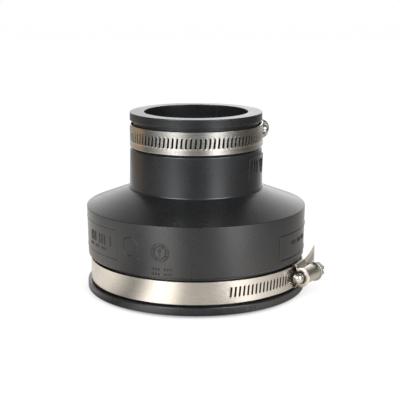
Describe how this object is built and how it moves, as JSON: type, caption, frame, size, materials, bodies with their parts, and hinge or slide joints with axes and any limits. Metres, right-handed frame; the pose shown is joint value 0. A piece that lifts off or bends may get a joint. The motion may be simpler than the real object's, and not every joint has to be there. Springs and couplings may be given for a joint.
{
  "type": "flexible pipe coupling",
  "caption": "Flexible reducing pipe coupling of black rubber: a large socket and a small socket joined by a cone, with a stainless worm-drive clamp round each.",
  "frame": {"origin": "in the plane of the large socket's open end face, on which the coupling stands, under the middle of the whole object's box; the sleeve's axis is 5.3 mm from it towards -X, because the large clamp's screw reaches out to +X", "axes": "+Z runs along the sleeve's axis from the large socket to the small one; -Y is the side that faces the camera in the picture, and both clamp screws are on the +X side"},
  "size_m": [0.1388, 0.1282, 0.1032],
  "materials": {
    "sleeve": "semi-gloss black moulded rubber",
    "strip": "bright rolled stainless strip",
    "housing": "pressed stainless sheet, lightly polished",
    "screw": "cold-headed and rolled steel"
  },
  "bodies": {
    "sleeve_and_bands": {"rubber_body": "sleeve", "large_band": "strip", "large_housing": "housing", "small_band": "strip", "small_housing": "housing"},
    "large_clamp_screw": {"large_screw": "screw"},
    "small_clamp_screw": {"small_screw": "screw"}
  },
  "joints": [
    {"name": "large_screw_turn", "type": "hinge", "parent": "sleeve_and_bands", "child": "large_clamp_screw", "pos_m": [0.05378, -0.03141, 0.0121], "axis": [0.5736, 0.8192, 0], "continuous": true},
    {"name": "small_screw_turn", "type": "hinge", "parent": "sleeve_and_bands", "child": "small_clamp_screw", "pos_m": [0.03407, 0.01871, 0.08992], "axis": [-0.454, 0.891, 0], "continuous": true}
  ]
}
